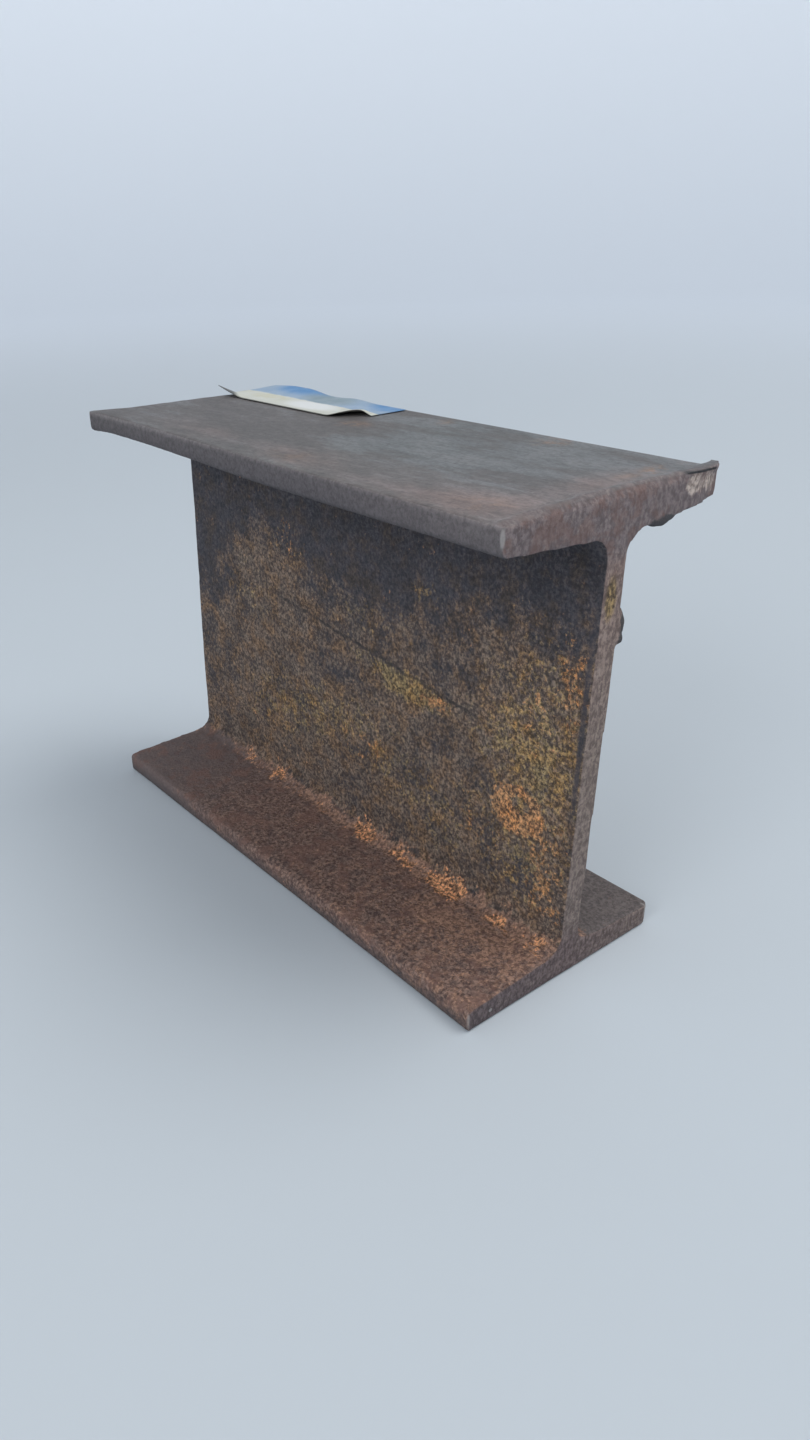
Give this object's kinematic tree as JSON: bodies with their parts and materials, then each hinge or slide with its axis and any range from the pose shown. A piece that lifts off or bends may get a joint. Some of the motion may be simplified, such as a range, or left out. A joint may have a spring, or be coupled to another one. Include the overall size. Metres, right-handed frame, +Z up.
{
  "type": "steel i-beam",
  "caption": "Short off-cut of rusted hot-rolled steel I-beam with tapered flanges, standing on its lower flange, with a curled blank paper label on top.",
  "frame": {"origin": "middle of the lower flange's outer face, under the web and halfway between the two cuts", "axes": "+X along the beam towards the cut end with the torn corner, +Y across the flanges towards the label's side, +Z up"},
  "size_m": [0.2276, 0.088, 0.1636],
  "materials": {
    "rusted_steel": "matte",
    "label_paper": "satin"
  },
  "bodies": {
    "root": {"i_beam": "rusted_steel", "paper_label": "label_paper"}
  },
  "joints": []
}
